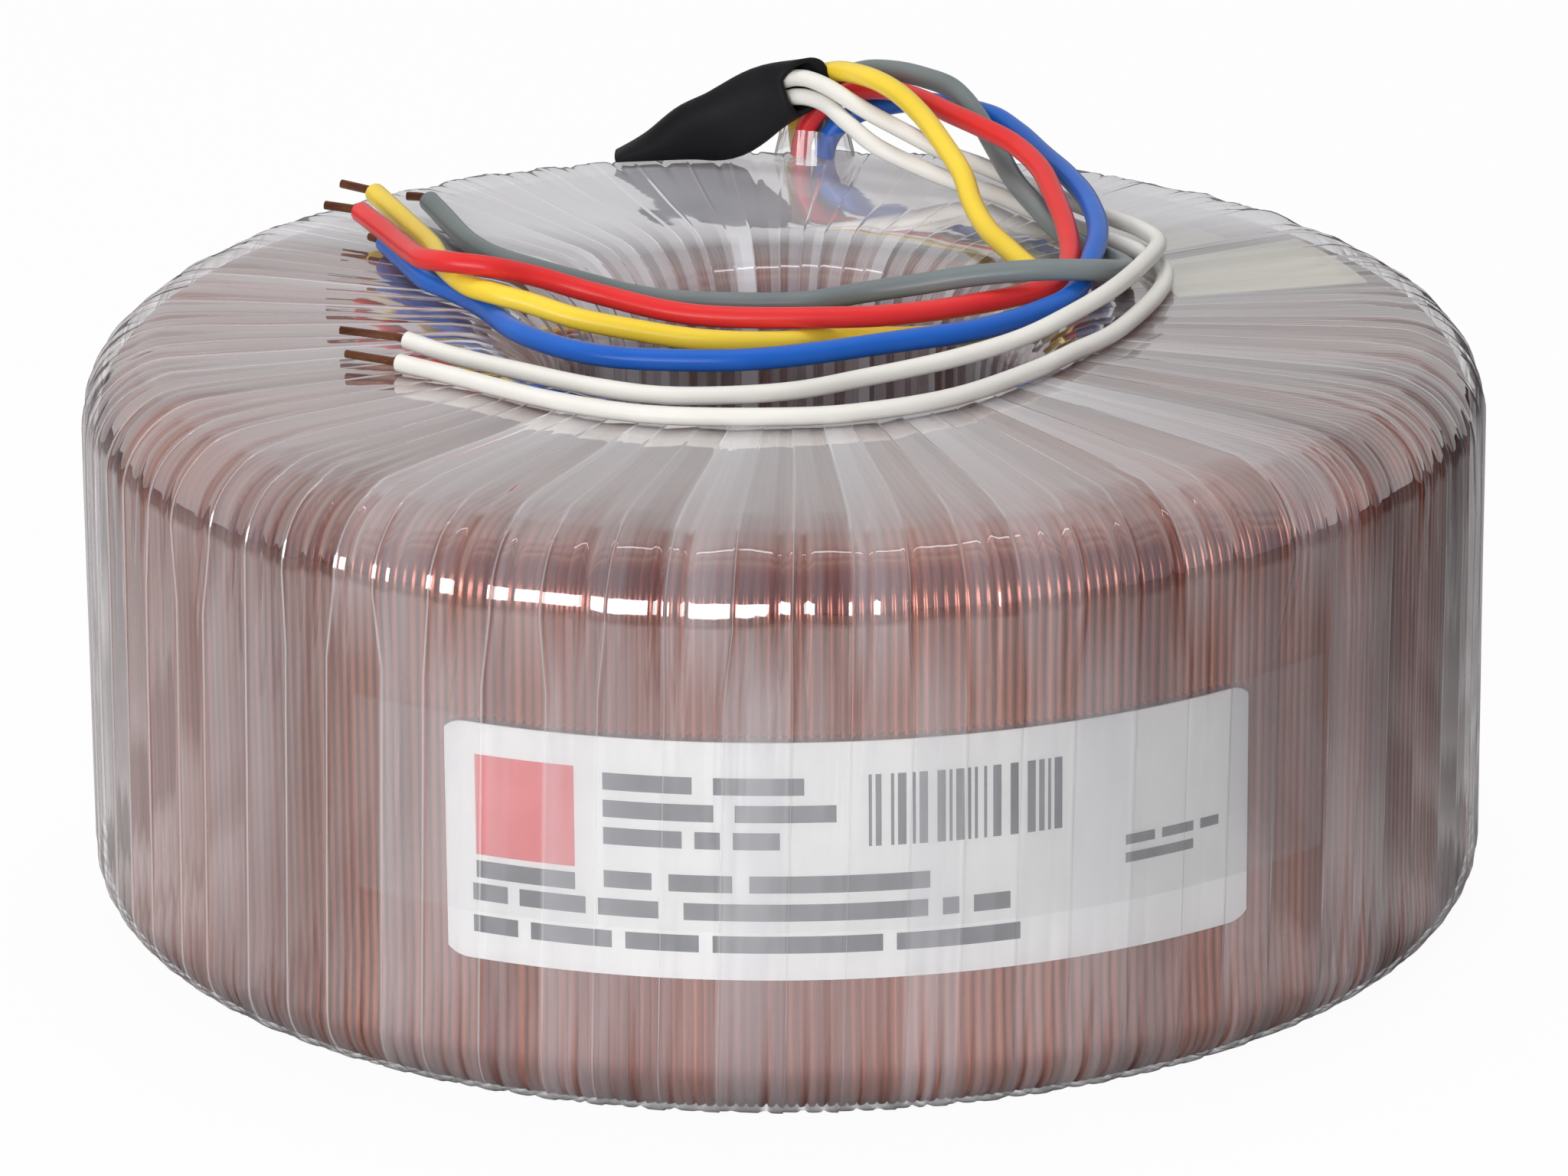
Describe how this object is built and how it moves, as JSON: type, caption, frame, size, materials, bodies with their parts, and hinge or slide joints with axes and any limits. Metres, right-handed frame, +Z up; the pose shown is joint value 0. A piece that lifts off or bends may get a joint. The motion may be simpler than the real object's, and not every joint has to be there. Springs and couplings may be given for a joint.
{
  "type": "toroidal transformer",
  "caption": "Toroidal mains transformer: ring wound core wrapped in lapped clear tape over copper windings, with a curved label and free sleeved leads on top.",
  "frame": {"origin": "centre of the flat resting face, on the axis of the ring", "axes": "+Z up along the axis of the ring, -Y towards the side that carries the label, +X to the right when the label is read"},
  "size_m": [0.14, 0.14, 0.0711],
  "materials": {
    "steel_strip": "satin edges of wound silicon steel strip",
    "core_tape": "matt polyester tape",
    "primary_copper": "glossy enamelled copper wire",
    "barrier_tape": "glossy polyester tape",
    "secondary_copper": "glossy enamelled copper wire",
    "clear_tape": "glossy clear polyester tape",
    "clear_strip": "glossy clear adhesive strip",
    "anchor_tape": "yellowish adhesive tape",
    "label": "smooth white printed label",
    "black_sleeve": "semi-matt black sleeving",
    "white_sleeve": "satin white sleeving",
    "yellow_sleeve": "glossy yellow sleeving",
    "red_sleeve": "glossy red sleeving",
    "blue_sleeve": "glossy blue sleeving",
    "grey_sleeve": "glossy grey sleeving",
    "bare_wire": "dull scraped enamelled copper"
  },
  "bodies": {
    "root": {"core": "steel_strip", "core_tape": "core_tape", "primary_winding": "primary_copper", "winding_barrier": "barrier_tape", "secondary_winding_1": "secondary_copper", "secondary_winding_2": "secondary_copper", "inner_wrap": "clear_tape", "anchor_tape": "anchor_tape", "start_tape": "anchor_tape", "label": "label", "label_strip": "clear_strip", "outer_wrap": "clear_tape", "exit_collar": "clear_tape", "primary_sleeve": "black_sleeve", "lead_white_1": "white_sleeve", "lead_white_2": "white_sleeve", "lead_yellow": "yellow_sleeve", "lead_red": "red_sleeve", "lead_blue": "blue_sleeve", "lead_grey": "grey_sleeve", "end_white_1": "bare_wire", "end_white_2": "bare_wire", "end_yellow": "bare_wire", "end_red": "bare_wire", "end_blue": "bare_wire", "end_grey": "bare_wire"}
  },
  "joints": []
}
